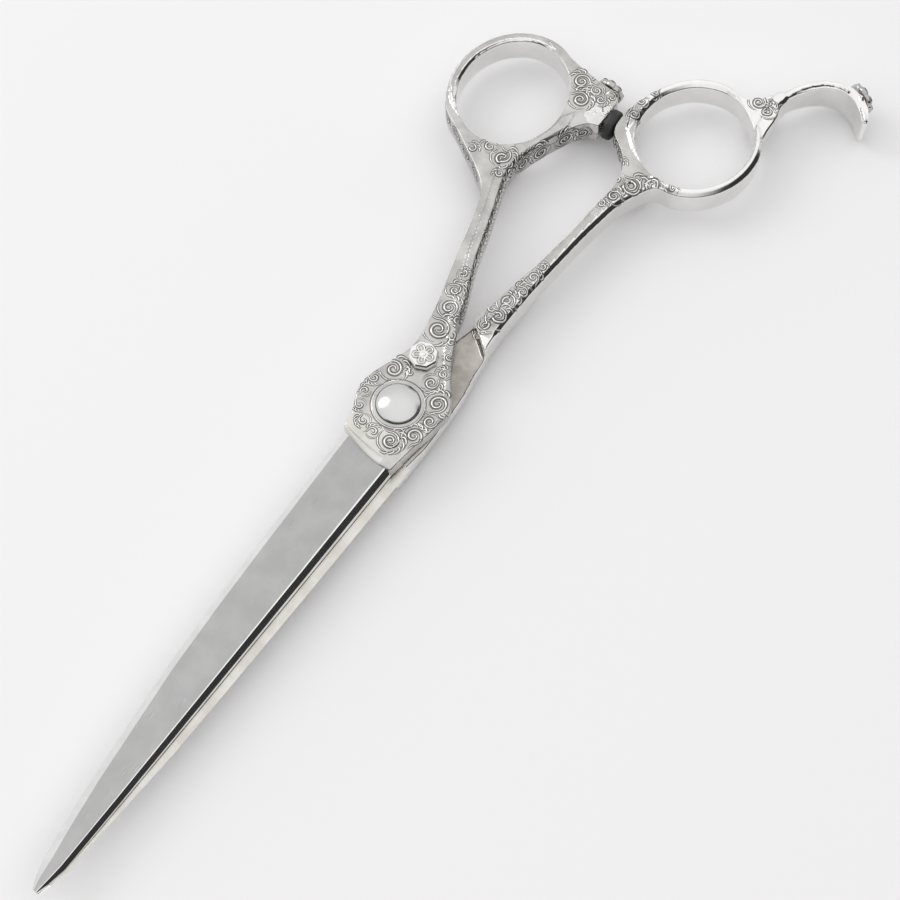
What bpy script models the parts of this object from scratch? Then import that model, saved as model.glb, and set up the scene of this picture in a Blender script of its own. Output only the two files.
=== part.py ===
"""Hair cutting shears: two blades with ornate ring handles on one adjustable pivot, at rest closed.

Sizes are in millimetres and turned to metres where a mesh is made. +Y runs from the pivot to
the finger rings, -Y to the blade tip, +Z is up through the pivot. The pivot axis is x = y = 0,
and z = 0 is the flat underside of the tension nut, the lowest face of the shears.
"""

import math

import bmesh
import bpy
from mathutils import Matrix, Vector

MM = 0.001

# Overall
BLADE_REACH = 94.0  # pivot axis to blade tip
HANDLE_REACH = 70.75  # pivot axis to the centre of the finger ring, along Y
PLATE = 2.8  # thickness of each half at the pivot
NUT_PROUD = 1.8  # how far the tension nut stands below the finger half
FIT = 0.3  # clearance between neighbouring parts

# Handles
FINGER_HOLE = (9.75, 10.75)  # half width and half length of the finger ring hole
FINGER_BAND = 1.7  # thickness of the finger ring
FINGER_TURN = -8.5  # lean of the finger ring, degrees
FINGER_CENTRE_X = 12.85
THUMB_HOLE = (9.35, 11.05)
THUMB_BAND = 1.9
THUMB_TURN = 3.5
THUMB_CENTRE = (-18.0, -9.65)  # x, and y measured from the finger ring's centre
HANDLE_EDGE = 0.6  # rounding of the handle's rims
REST_THICK = 1.7  # finger rest
REST_TALL = 9.2

# Welds between blade steel and handles, and the step beside the pivot
THUMB_WELD_Y = 18.15
FINGER_WELD_Y = 12.6
LAP_STEP = ((1.5, 19.7), (5.3, 16.5))  # where the finger shank rises beside the thumb half

# Pivot
SCREW_R = 1.9  # shank
SCREW_FLATS = 3.0  # across the two flats that key it to the thumb half
THREAD_R = 1.45
HEAD_R = 3.85
HEAD_TALL = 1.5
WASHER_R = 3.7  # every washer in the stack
WASHER_THICK = 0.3
NUT_R = 4.3
NUT_GRIPS = 20
BLIND_Z = 0.6  # metal left under the nut's thread
BUSH_WALL = 0.6

# Levels, upwards
BASE_Z = NUT_PROUD
FINGER_TOP_Z = BASE_Z + PLATE
THUMB_LOW_Z = FINGER_TOP_Z + FIT
TOP_Z = THUMB_LOW_Z + PLATE - 0.1
HANDLE_MID_Z = (BASE_Z + TOP_Z) / 2

# Rubber stop and studs
BUMPER_R = 2.7
BUMPER_THICK = 1.7
BUMPER_PIN_R = 0.8
STUD_AT = (-1.4, 9.3)  # on the thumb half's plate
STUD_R = 2.5  # to its corners
ROSETTE_R = 2.6
PETALS = 8

STEEL = (0.70, 0.70, 0.69, 1)
CAST_STEEL = (0.66, 0.65, 0.63, 1)
PIN_STEEL = (0.55, 0.55, 0.55, 1)
RUBBER = (0.03, 0.03, 0.032, 1)
POLYMER = (0.85, 0.83, 0.78, 1)

stretch = HANDLE_REACH / 70.75  # the shank outlines below were drawn for this reach
finger_centre = Vector((FINGER_CENTRE_X, HANDLE_REACH))
thumb_centre = Vector((THUMB_CENTRE[0], HANDLE_REACH + THUMB_CENTRE[1]))


def start():
    for obj in list(bpy.data.objects):
        bpy.data.objects.remove(obj, do_unlink=True)
    parts = bpy.data.collections.new("hair_cutting_shears")
    cutters = bpy.data.collections.new("cutters")
    for collection in (parts, cutters):
        bpy.context.scene.collection.children.link(collection)
    cutters.hide_render = True
    return parts, cutters


parts, cutters = start()


def material(name, colour, roughness, metallic):
    made = bpy.data.materials.new(name)
    made.use_nodes = True
    shader = made.node_tree.nodes["Principled BSDF"]
    shader.inputs["Base Color"].default_value = colour
    shader.inputs["Roughness"].default_value = roughness
    shader.inputs["Metallic"].default_value = metallic
    return made


def mesh_object(name, mesh, home=cutters):
    obj = bpy.data.objects.new(name, mesh)
    home.objects.link(obj)
    if home is cutters:
        obj.hide_render = True
        obj.display_type = "WIRE"
    return obj


def bmesh_object(name, made):
    bmesh.ops.remove_doubles(made, verts=made.verts, dist=0.01 * MM)
    bmesh.ops.recalc_face_normals(made, faces=made.faces)
    mesh = bpy.data.meshes.new(name)
    made.to_mesh(mesh)
    made.free()
    return mesh_object(name, mesh)


def finish(obj, colour, roughness, metallic):
    """Takes a shape out of the cutters and makes it a part with its own material."""
    cutters.objects.unlink(obj)
    parts.objects.link(obj)
    obj.hide_render = False
    obj.display_type = "TEXTURED"
    obj.data.materials.clear()
    obj.data.materials.append(material(obj.name, colour, roughness, metallic))
    obj.data.shade_smooth()
    obj.data.set_sharp_from_angle(angle=math.radians(30))
    return obj


def boolean(obj, other, operation="DIFFERENCE"):
    made = obj.modifiers.new(operation.lower(), "BOOLEAN")
    made.operation = operation
    made.solver = "EXACT"
    made.object = other


def placed(obj, matrix):
    obj.matrix_basis = matrix @ obj.matrix_basis
    return obj


def shift(x=0.0, y=0.0, z=0.0):
    return Matrix.Translation(Vector((x, y, z)) * MM)


def outline(name, loops, low, high, edge=0.0, steps=0, fine=4):
    """A flat shape between two heights. A point marked "corner" stays sharp."""
    curve = bpy.data.curves.new(name, "CURVE")
    curve.dimensions = "2D"
    curve.fill_mode = "BOTH"
    curve.resolution_u = fine
    curve.extrude = ((high - low) / 2 - edge) * MM
    curve.bevel_depth = edge * MM
    curve.bevel_resolution = steps
    curve.offset = -edge * MM
    for loop in loops:
        spline = curve.splines.new("BEZIER")
        spline.use_cyclic_u = True
        spline.bezier_points.add(len(loop) - 1)
        for point, spot in zip(spline.bezier_points, loop):
            point.co = (spot[0] * MM, spot[1] * MM, 0)
            kind = "VECTOR" if spot[-1] == "corner" else "AUTO"
            point.handle_left_type = point.handle_right_type = kind
    drawn = bpy.data.objects.new(name + "_curve", curve)
    bpy.context.scene.collection.objects.link(drawn)
    graph = bpy.context.evaluated_depsgraph_get()
    mesh = bpy.data.meshes.new_from_object(drawn.evaluated_get(graph))
    bpy.data.objects.remove(drawn, do_unlink=True)
    made = bmesh.new()
    made.from_mesh(mesh)
    bpy.data.meshes.remove(mesh)
    bmesh.ops.translate(made, vec=(0, 0, (low + high) / 2 * MM), verts=made.verts)
    return bmesh_object(name, made)


def turned(name, profile, steps=32):
    """A profile of (radius, z) points turned about Z. It closes itself if it never meets the axis."""
    points = [(r * MM, 0, z * MM) for r, z in profile]
    edges = [(i, i + 1) for i in range(len(points) - 1)]
    if min(r for r, _ in profile) > 0:
        edges.append((len(points) - 1, 0))
    mesh = bpy.data.meshes.new(name)
    mesh.from_pydata(points, edges, [])
    obj = mesh_object(name, mesh)
    screw = obj.modifiers.new("turn", "SCREW")
    screw.steps = screw.render_steps = steps
    screw.use_merge_vertices = True
    screw.merge_threshold = 0.01 * MM
    return obj


def washer(name, outer, inner, low, high, steps=32):
    return turned(name, [(outer, high), (outer, low), (inner, low), (inner, high)], steps)


def rod(name, radius, low, high, steps=24):
    return turned(name, [(0, high), (radius, high), (radius, low), (0, low)], steps)


def box(name, low, high):
    made = bmesh.new()
    bmesh.ops.create_cube(made, size=1.0)
    size = [(b - a) * MM for a, b in zip(low, high)]
    centre = [(a + b) / 2 * MM for a, b in zip(low, high)]
    bmesh.ops.scale(made, vec=size, verts=made.verts)
    bmesh.ops.translate(made, vec=centre, verts=made.verts)
    return bmesh_object(name, made)


def loft(name, rings):
    """A closed skin over rings of points with the same count, for shapes that taper two ways."""
    made = bmesh.new()
    rows = [[made.verts.new(Vector(p) * MM) for p in ring] for ring in rings]
    for row, after in zip(rows, rows[1:]):
        for i in range(len(row)):
            j = (i + 1) % len(row)
            made.faces.new((row[i], row[j], after[j], after[i]))
    made.faces.new(rows[0])
    made.faces.new(rows[-1])
    return bmesh_object(name, made)


def between(table, y):
    """The value at y on a table of (y, value) pairs in falling y."""
    for (y0, v0), (y1, v1) in zip(table, table[1:]):
        if y >= y1:
            return v0 + (v1 - v0) * (y0 - y) / (y0 - y1)
    return table[-1][1]


def ring_arc(centre, half, turn, first, last, count):
    """Points on a leaning ellipse from one angle to another."""
    lean = math.radians(turn)
    points = []
    for i in range(count):
        a = math.radians(first + (last - first) * i / (count - 1))
        x, y = half[0] * math.cos(a), half[1] * math.sin(a)
        points.append(
            (
                centre.x + x * math.cos(lean) - y * math.sin(lean),
                centre.y + x * math.sin(lean) + y * math.cos(lean),
            )
        )
    return points


def ring_hole(centre, half, turn):
    return ring_arc(centre, half, turn, 0, 330, 12)


def wider(half, band):
    return half[0] + band, half[1] + band


def up_shank(points):
    return [(p[0], p[1] * stretch, *p[2:]) for p in points]


def by_ring(points):
    """Points given from the finger ring's centre."""
    return [(finger_centre.x + p[0], finger_centre.y + p[1], *p[2:]) for p in points]


# Blades. Each table gives x against y for a reach of 94.
SPINE_SIDE = [
    (-8, 5.75), (-20, 5.2), (-32, 4.75), (-48, 4.1),
    (-60, 3.6), (-78, 2.85), (-90, 2.2), (-94, 1.1),
]
EDGE_SIDE = [
    (-8, -5.0), (-25, -4.95), (-40, -4.9), (-55, -4.5), (-68, -3.7),
    (-78, -2.8), (-86, -1.9), (-91, -1.2), (-94, 0.1),
]
STATIONS = [-8, -14, -22, -32, -44, -56, -66, -76, -84, -89, -92, -93.4, -94]
BLADE_THICK = [(-8, 2.3), (-40, 2.1), (-80, 1.6), (-94, 1.0)]
EDGE_LAND = 0.12  # thickness left at the cutting edge
EDGE_BEVEL = 1.3  # width of the ground bevel
LOWER_EXTRA = [(-8, 1.7), (-40, 1.55), (-65, 1.3), (-83, 0.45), (-94, 0.2)]  # how far the lower edge shows


def blade_ring(y, edge, spine, flat_z, side):
    """One section: the flat ride face at flat_z, the ground back on the given side of it."""
    inward = 1 if spine > edge else -1
    thick = between(BLADE_THICK, y)
    bevel = min(EDGE_BEVEL, abs(spine - edge) * 0.35)
    back = min(1.1, abs(spine - edge) * 0.3)
    reach = y * BLADE_REACH / 94.0
    return [
        (edge, reach, flat_z),
        (edge, reach, flat_z + side * EDGE_LAND),
        (edge + inward * bevel, reach, flat_z + side * thick * 0.72),
        ((edge + spine) / 2, reach, flat_z + side * thick * 0.98),
        (spine - inward * back, reach, flat_z + side * thick),
        (spine - inward * back * 0.25, reach, flat_z + side * thick * 0.8),
        (spine, reach, flat_z + side * thick * 0.4),
        (spine, reach, flat_z),
    ]


def upper_blade():
    return loft(
        "upper_blade_blank",
        [blade_ring(y, between(EDGE_SIDE, y), between(SPINE_SIDE, y), THUMB_LOW_Z, 1) for y in STATIONS],
    )


def lower_blade():
    rings = []
    for y in STATIONS:
        edge = between(SPINE_SIDE, y) + between(LOWER_EXTRA, y)
        spine = between(EDGE_SIDE, y) + min(0.5, 0.1 * (94 + y))
        rings.append(blade_ring(y, edge, spine, FINGER_TOP_Z, -1))
    return loft("lower_blade_blank", rings)


# Pivot hardware levels
bush_r = SCREW_R + BUSH_WALL + 0.1
head_seat_z = TOP_Z - 2 * WASHER_THICK
head_low_z = head_seat_z + WASHER_THICK + 0.3
under_seat_z = BASE_Z + 1.2
thread_top_z = under_seat_z + 0.2
nut_top_z = BASE_Z - FIT


def keyed(name, radius, flats, low, high):
    """A rod with two flats."""
    obj = rod(name, radius, low, high)
    across_flats = box(name + "_flats", (-flats / 2, -radius - 1, low - 1), (flats / 2, radius + 1, high + 1))
    boolean(obj, across_flats, "INTERSECT")
    return obj


def make_pivot():
    dome = [
        (HEAD_R * math.sin(a), head_low_z + 0.45 + (HEAD_TALL - 0.45) * math.cos(a))
        for a in (math.radians(15 * i) for i in range(7))
    ]
    screw = turned(
        "pivot_screw",
        [
            *dome,
            (HEAD_R, head_low_z),
            (SCREW_R, head_low_z),
            (SCREW_R, thread_top_z),
            (THREAD_R, thread_top_z - 0.3),
            (THREAD_R, BLIND_Z + 0.2),
            (0, BLIND_Z + 0.2),
        ],
        40,
    )
    for side in (-1, 1):
        low, high = sorted((side * SCREW_FLATS / 2, side * (SCREW_R + 1)))
        flat = box("screw_flat", (low, -3, THUMB_LOW_Z), (high, 3, head_low_z))
        boolean(screw, flat)
    finish(screw, STEEL, 0.18, 1.0)

    washer_low = head_seat_z + 0.15
    head_washer = washer("head_washer", WASHER_R, SCREW_R + 0.3, washer_low, washer_low + WASHER_THICK)
    finish(head_washer, POLYMER, 0.5, 0.0)
    low = (FINGER_TOP_Z + THUMB_LOW_Z - 2 * WASHER_THICK) / 2
    ride = washer("ride_washer", WASHER_R, SCREW_R + 0.3, low, low + 2 * WASHER_THICK)
    finish(ride, POLYMER, 0.45, 0.0)
    bush = washer("pivot_bushing", bush_r, SCREW_R + 0.2, under_seat_z + 0.15, FINGER_TOP_Z - 0.55)
    finish(bush, POLYMER, 0.4, 0.0)

    key_low = under_seat_z - 0.2 - WASHER_THICK
    key = rod("key_washer", WASHER_R, key_low, key_low + WASHER_THICK, 32)
    boolean(key, rod("key_bore", THREAD_R + 0.25, key_low - 1, key_low + 1))
    finish(key, PIN_STEEL, 0.35, 1.0)
    cone = 0.15
    spring_low = key_low - 0.25 - WASHER_THICK - cone
    spring = turned(
        "spring_washer",
        [
            (WASHER_R, spring_low + WASHER_THICK),
            (WASHER_R, spring_low),
            (THREAD_R + 0.4, spring_low + cone),
            (THREAD_R + 0.4, spring_low + cone + WASHER_THICK),
        ],
    )
    finish(spring, PIN_STEEL, 0.35, 1.0)


def make_nut():
    """A coin-edged nut with a blind thread, turned by two holes in its face."""
    rim = []
    for i in range(2 * NUT_GRIPS):
        a = math.pi * i / NUT_GRIPS
        r = NUT_R - (0.22 if i % 2 else 0.0)
        rim.append((r * math.cos(a), r * math.sin(a)))
    nut = outline("tension_nut", [rim], 0.0, nut_top_z, 0.2, 0, 2)
    boolean(nut, rod("nut_thread", THREAD_R + 0.2, BLIND_Z, nut_top_z + 1))
    for side in (-1, 1):
        hole = placed(rod("spanner_hole", 0.55, -1, 0.7, 12), shift(x=side * 2.7))
        boolean(nut, hole)
    finish(nut, STEEL, 0.25, 1.0)


def make_thumb_blade():
    plate = [
        (-4.9, -10.6, "corner"), (-5.25, -7.6), (-5.35, -5.9), (-5.9, -4.1), (-6.8, -2.3), (-7.15, 0.0),
        (-6.85, 2.5), (-6.0, 4.9), (-4.9, 7.6), (-4.3, 10.0), (-4.2, 12.8), (-4.7, 15.6),
        (-5.2, 18.0, "corner"), (-0.7, 18.0, "corner"), (0.5, 16.0), (1.6, 13.9), (2.9, 11.1), (4.8, 8.0),
        (6.5, 5.8), (7.7, 3.5), (7.55, 1.2), (7.2, -1.3), (6.6, -4.2), (6.1, -7.6), (5.6, -10.9, "corner"),
    ]
    blade = outline("thumb_blade", [plate], THUMB_LOW_Z, TOP_Z, 0.25, 0, 3)
    boolean(blade, upper_blade(), "UNION")
    boolean(blade, keyed("thumb_bore", SCREW_R + FIT / 2, SCREW_FLATS + FIT, THUMB_LOW_Z - 1, TOP_Z + 1))
    boolean(blade, rod("head_recess", HEAD_R + 0.2, head_seat_z, TOP_Z + 1, 40))
    boolean(blade, rod("ride_recess_up", WASHER_R + 0.2, THUMB_LOW_Z - 1, THUMB_LOW_Z + WASHER_THICK, 32))
    boolean(blade, placed(rod("stud_hole", 0.9, TOP_Z - 1.6, TOP_Z + 1, 12), shift(*STUD_AT)))
    finish(blade, STEEL, 0.3, 1.0)


def make_finger_blade():
    plate = [
        (-4.6, -10.6, "corner"), (-4.9, -7.0), (-5.6, -3.8), (-6.4, -1.0), (-6.6, 2.0), (-5.9, 5.0),
        (-4.6, 8.0), (-3.0, 10.4), (-1.3, FINGER_WELD_Y - FIT / 2, "corner"),
        (6.5, FINGER_WELD_Y - FIT / 2, "corner"),
        (7.1, 8.5), (7.3, 4.5), (7.3, 0.5), (7.3, -4.5), (7.4, -10.9, "corner"),
    ]
    blade = outline("finger_blade", [plate], BASE_Z, FINGER_TOP_Z, 0.25, 0, 3)
    boolean(blade, lower_blade(), "UNION")
    boolean(blade, rod("bush_bore", bush_r + 0.2, BASE_Z - 1, FINGER_TOP_Z + 1))
    boolean(blade, rod("under_recess", WASHER_R + 0.3, BASE_Z - 1, under_seat_z, 32))
    boolean(blade, rod("ride_recess_down", WASHER_R + 0.2, FINGER_TOP_Z - WASHER_THICK, FINGER_TOP_Z + 1, 32))
    finish(blade, STEEL, 0.3, 1.0)


def make_thumb_handle():
    outer = wider(THUMB_HOLE, THUMB_BAND)
    weld = THUMB_WELD_Y + FIT / 2
    boss = thumb_centre
    shape = [
        *up_shank([
            (-0.6, weld / stretch, "corner"),
            (-1.6, 22), (-3.2, 26), (-4.7, 30), (-5.8, 34), (-7.0, 38), (-8.3, 42), (-9.3, 45.2),
        ]),
        *[(boss.x + x, boss.y + y, *more) for x, y, *more in (
            (8.3, -13.1), (8.7, -10.1), (9.8, -6.6), (11.2, -3.1), (12.8, 0.0), (14.6, 1.9),
            (15.95, 2.2, "corner"), (16.05, 8.3, "corner"), (15.4, 9.9, "corner"), (10.6, 10.3, "corner"),
        )],
        *ring_arc(boss, outer, THUMB_TURN, 60, 222, 10),
        *[(boss.x + x, boss.y + y) for x, y in ((-3.6, -11.9), (0.0, -14.3), (2.8, -16.2), (5.1, -18.1), (6.7, -20.5))],
        *up_shank([
            (-10.0, 37), (-9.0, 33.2), (-8.0, 29), (-6.9, 24.7), (-5.9, 21),
            (-5.3, weld / stretch, "corner"),
        ]),
    ]
    loops = [shape, ring_hole(boss, THUMB_HOLE, THUMB_TURN)]
    handle = outline("thumb_handle", loops, BASE_Z, TOP_Z, HANDLE_EDGE, 1)
    pin_hole = rod("bumper_pin_hole", BUMPER_PIN_R + 0.15, -4.2, 1.0, 12)
    boolean(handle, placed(pin_hole, bumper_frame))
    rosette_hole = rod("boss_rosette_hole", 0.95, -2.9, 1.0, 12)
    boolean(handle, placed(rosette_hole, boss_rosette_frame))
    finish(handle, CAST_STEEL, 0.28, 1.0)


def rest_section(spot, ahead, tall, thick):
    """A rounded upright section of the finger rest, across its path."""
    along = (Vector(ahead) - Vector(spot)).normalized()
    across = Vector((along.y, -along.x))
    ring = []
    for i in range(12):
        a = math.radians(30 * i + 15)
        u, v = math.cos(a), math.sin(a)
        u = math.copysign(abs(u) ** 0.6, u) * thick / 2
        v = math.copysign(abs(v) ** 0.35, v) * tall / 2
        place = Vector(spot) + across * u
        ring.append((place.x, place.y, HANDLE_MID_Z + v))
    return ring


def finger_rest():
    path = by_ring([
        (7.0, 13.0), (8.2, 15.4), (9.5, 17.9), (11.0, 20.0), (12.9, 21.9), (15.2, 23.0),
        (17.5, 23.1), (19.6, 22.4), (21.3, 21.0), (22.4, 19.4), (22.8, 18.6),
    ])
    tall = [5.0, 5.6, 6.3, 7.0, 7.8, 8.5, 9.0, 9.4, 9.6, 8.6, 6.0]
    thick = [1.9, 1.8, 1.7, 1.7, 1.7, 1.7, 1.7, 1.7, 1.6, 1.2, 0.7]
    rings = []
    for i, spot in enumerate(path):
        before, after = path[max(i - 1, 0)], path[min(i + 1, len(path) - 1)]
        ahead = Vector(spot) + (Vector(after) - Vector(before))
        height = tall[i] * REST_TALL / max(tall)
        rings.append(rest_section(spot, ahead, height, thick[i] * REST_THICK / thick[4]))
    return loft("rest_blank", rings)


def make_finger_handle():
    outer = wider(FINGER_HOLE, FINGER_BAND)
    weld = FINGER_WELD_Y + FIT / 2
    shape = [
        *up_shank([
            (-1.0, weld / stretch, "corner"),
            (0.3, 16.2), (1.3, 19.7), (2.0, 23.2), (2.7, 27), (3.3, 30.5),
            (4.2, 34.8), (4.8, 39), (5.5, 44), (5.9, 49),
        ]),
        *by_ring([
            (-6.5, -18.0), (-6.4, -15.2), (-7.0, -12.4), (-8.4, -9.9), (-10.4, -8.1), (-12.0, -6.8),
            (-12.6, -5.3), (-12.6, -2.6), (-12.2, 0.0), (-11.5, 2.6), (-10.2, 5.4),
        ]),
        *ring_arc(finger_centre, outer, FINGER_TURN, 140, 82, 4),
        *by_ring([(5.0, 13.1), (6.6, 15.2), (7.6, 16.6), (9.2, 16.0), (9.1, 13.8), (9.6, 11.4)]),
        *ring_arc(finger_centre, outer, FINGER_TURN, 40, -82, 9),
        *by_ring([(-1.6, -14.3), (-2.9, -16.9), (-3.8, -19.7)]),
        *up_shank([
            (8.5, 48), (7.8, 43.5), (7.2, 38), (6.6, 32), (6.2, 26), (6.0, 20), (6.2, 16),
            (6.5, weld / stretch, "corner"),
        ]),
    ]
    handle = outline(
        "finger_handle", [shape, ring_hole(finger_centre, FINGER_HOLE, FINGER_TURN)], BASE_Z, TOP_Z, HANDLE_EDGE, 1
    )
    boolean(handle, finger_rest(), "UNION")
    (x0, y0), (x1, y1) = LAP_STEP
    angle = math.atan2(y1 - y0, x1 - x0)
    lap = placed(box("lap", (-12, -20, 0), (16, 0, 9)), Matrix.Rotation(angle, 4, "Z"))
    boolean(handle, placed(lap, shift(x0, y0, FINGER_TOP_Z)))
    finish(handle, CAST_STEEL, 0.28, 1.0)


def facing(at, direction):
    """Places a piece made along +Z so that it points in a level direction from a spot."""
    turn = Vector((0, 0, 1)).rotation_difference(Vector((*direction, 0))).to_matrix().to_4x4()
    return shift(*at) @ turn


bumper_frame = facing((thumb_centre.x + 16.0, thumb_centre.y + 5.2, HANDLE_MID_Z), (1, 0))
boss_rosette_frame = facing((thumb_centre.x + 13.0, thumb_centre.y + 10.1, HANDLE_MID_Z), (0.08, 1))
rest_rosette_frame = facing((finger_centre.x + 18.9, finger_centre.y + 23.62, HANDLE_MID_Z), (0.42, 0.91))


def make_bumper():
    gap = 0.25
    top = gap + BUMPER_THICK
    bumper = turned(
        "rubber_bumper",
        [(0, top), (BUMPER_R - 0.6, top), (BUMPER_R, top - 0.45), (BUMPER_R, gap), (0, gap)],
        24,
    )
    boolean(bumper, placed(rod("bumper_bore", BUMPER_PIN_R + 0.2, gap - 1, gap + 1.1, 16), bumper_frame))
    finish(placed(bumper, bumper_frame), RUBBER, 0.75, 0.0)
    pin = rod("bumper_pin", BUMPER_PIN_R, -4.0, gap + 0.9, 16)
    finish(placed(pin, bumper_frame), PIN_STEEL, 0.35, 1.0)


def petal_rim(radius):
    rim = []
    for i in range(2 * PETALS):
        a = math.pi * i / PETALS
        r = radius * (0.86 if i % 2 else 1.0)
        rim.append((r * math.cos(a), r * math.sin(a)))
    return rim


def make_studs():
    corners = [
        (STUD_R * math.cos(math.radians(45 * i + 22.5)), STUD_R * math.sin(math.radians(45 * i + 22.5)), "corner")
        for i in range(8)
    ]
    stud = outline("pivot_stud", [corners], 0.25, 1.15, 0.2, 0, 1)
    stud_frame = shift(*STUD_AT, TOP_Z)
    boolean(stud, placed(rod("stud_eye", 0.7, 0.9, 1.35, 12), stud_frame), "UNION")
    boolean(stud, placed(rod("stud_pin", 0.65, -1.4, 0.6, 12), stud_frame), "UNION")
    finish(placed(stud, stud_frame), STEEL, 0.2, 1.0)

    boss = outline("boss_rosette", [petal_rim(ROSETTE_R)], 0.25, 1.45, 0.35, 0, 3)
    boolean(boss, placed(rod("boss_eye", 0.9, 1.0, 1.8, 12), boss_rosette_frame), "UNION")
    boolean(boss, placed(rod("boss_pin", 0.7, -2.7, 0.6, 12), boss_rosette_frame), "UNION")
    finish(placed(boss, boss_rosette_frame), CAST_STEEL, 0.28, 1.0)

    rest = outline("rest_rosette", [petal_rim(ROSETTE_R + 0.3)], 0.3, 1.3, 0.35, 0, 3)
    eye = placed(rod("rest_eye", 0.9, 0.9, 1.7, 12), rest_rosette_frame)
    boolean(rest, eye, "UNION")
    finish(placed(rest, rest_rosette_frame), CAST_STEEL, 0.28, 1.0)


THUMB_PIECES = (
    "thumb_blade", "thumb_handle", "pivot_screw", "head_washer", "ride_washer", "key_washer",
    "spring_washer", "rubber_bumper", "bumper_pin", "pivot_stud", "boss_rosette",
)


def on_axis(name):
    """An empty on the pivot's axis, for what turns about it."""
    empty = bpy.data.objects.new(name, None)
    parts.objects.link(empty)
    return empty


make_finger_blade()
make_finger_handle()
make_thumb_blade()
make_thumb_handle()
make_pivot()
make_nut()
make_bumper()
make_studs()
thumb_axis = on_axis("thumb_half_axis")
for name in THUMB_PIECES:
    bpy.data.objects[name].parent = thumb_axis
nut_axis = on_axis("tension_nut_axis")
nut_axis.parent = thumb_axis
bpy.data.objects["tension_nut"].parent = nut_axis
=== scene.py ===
import math

import bmesh
import bpy
from mathutils import Matrix, Vector
from mathutils.bvhtree import BVHTree


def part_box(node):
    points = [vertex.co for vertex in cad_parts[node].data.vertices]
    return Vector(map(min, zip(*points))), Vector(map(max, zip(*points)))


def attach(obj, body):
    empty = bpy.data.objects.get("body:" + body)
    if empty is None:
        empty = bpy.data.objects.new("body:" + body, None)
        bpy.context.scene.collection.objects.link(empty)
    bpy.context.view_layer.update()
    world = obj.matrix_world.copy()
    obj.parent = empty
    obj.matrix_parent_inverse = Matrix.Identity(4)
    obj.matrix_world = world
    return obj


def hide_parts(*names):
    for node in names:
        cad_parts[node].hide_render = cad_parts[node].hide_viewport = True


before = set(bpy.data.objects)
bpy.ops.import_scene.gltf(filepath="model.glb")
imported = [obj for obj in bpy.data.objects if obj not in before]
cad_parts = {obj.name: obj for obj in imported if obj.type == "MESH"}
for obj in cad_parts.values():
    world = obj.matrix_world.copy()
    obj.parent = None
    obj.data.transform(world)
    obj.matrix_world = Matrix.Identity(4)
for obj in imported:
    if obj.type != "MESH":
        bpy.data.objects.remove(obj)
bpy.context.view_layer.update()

# ---------------------------------------------------------------------------------------------
# Camera, light and table
# The shears lie on a white sweep under a bright ceiling. The side the viewer stands on is dim,
# and that dim band is what draws the dark lines along the polished edges.
# ---------------------------------------------------------------------------------------------
MM = 0.001
VIEW_AZIMUTH = math.radians(34.05)
VIEW_ELEVATION = math.radians(64.5)
VIEW_TARGET = Vector((11.85, -2.68, 9.0)) * MM
VIEW_DISTANCE = 334.6 * MM
toward_viewer = Vector(
    (
        math.sin(VIEW_AZIMUTH) * math.cos(VIEW_ELEVATION),
        -math.cos(VIEW_AZIMUTH) * math.cos(VIEW_ELEVATION),
        math.sin(VIEW_ELEVATION),
    )
)
camera_data = bpy.data.cameras.new("camera")
camera_data.angle = math.radians(24.0)
camera_data.clip_start = 0.01
camera = bpy.data.objects.new("camera", camera_data)
camera.location = VIEW_TARGET + toward_viewer * VIEW_DISTANCE
camera.rotation_euler = toward_viewer.to_track_quat("Z", "Y").to_euler()
bpy.context.scene.collection.objects.link(camera)
bpy.context.scene.camera = camera
bpy.context.scene.view_settings.view_transform = "Standard"


class Socket:
    """A shader output that can be used in Python arithmetic."""

    def __init__(self, tree, output):
        self.tree, self.output = tree, output

    def maths(self, operation, *values, clamp=False):
        node = self.tree.nodes.new("ShaderNodeMath")
        node.operation, node.use_clamp = operation, clamp
        for slot, value in zip(node.inputs, values):
            connect(self.tree, slot, value)
        return Socket(self.tree, node.outputs[0])

    def __add__(self, other):
        return self.maths("ADD", self, other)

    def __radd__(self, other):
        return self.maths("ADD", other, self)

    def __sub__(self, other):
        return self.maths("SUBTRACT", self, other)

    def __rsub__(self, other):
        return self.maths("SUBTRACT", other, self)

    def __mul__(self, other):
        return self.maths("MULTIPLY", self, other)

    def __rmul__(self, other):
        return self.maths("MULTIPLY", other, self)

    def clamped(self):
        return self.maths("ADD", self, 0.0, clamp=True)

    def ramp(self, low, high):
        """0 below low, 1 above high, smooth between."""
        node = self.tree.nodes.new("ShaderNodeMapRange")
        node.interpolation_type = "SMOOTHSTEP"
        for name, value in (("Value", self), ("From Min", low), ("From Max", high)):
            connect(self.tree, node.inputs[name], value)
        return Socket(self.tree, node.outputs[0])


def connect(tree, slot, value):
    if isinstance(value, Socket):
        tree.links.new(slot, value.output)
    else:
        slot.default_value = value


def shader_node(tree, kind, settings=None, out=0, **values):
    """A node of one type with its settings and inputs; returns one output."""
    node = tree.nodes.new(kind)
    for name, value in (settings or {}).items():
        setattr(node, name, value)
    for name, value in values.items():
        connect(tree, node.inputs[name.replace("_", " ")], value)
    return Socket(tree, node.outputs[out])


MIX_FACTOR, MIX_A, MIX_B, MIX_RESULT = 0, 6, 7, 2  # where a Mix node keeps its colour sockets


def mixed(tree, factor, dark, light):
    """A colour between two, by a factor from 0 to 1."""
    node = tree.nodes.new("ShaderNodeMix")
    node.data_type = "RGBA"
    connect(tree, node.inputs[MIX_FACTOR], factor)
    connect(tree, node.inputs[MIX_A], dark)
    connect(tree, node.inputs[MIX_B], light)
    return Socket(tree, node.outputs[MIX_RESULT])


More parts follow.
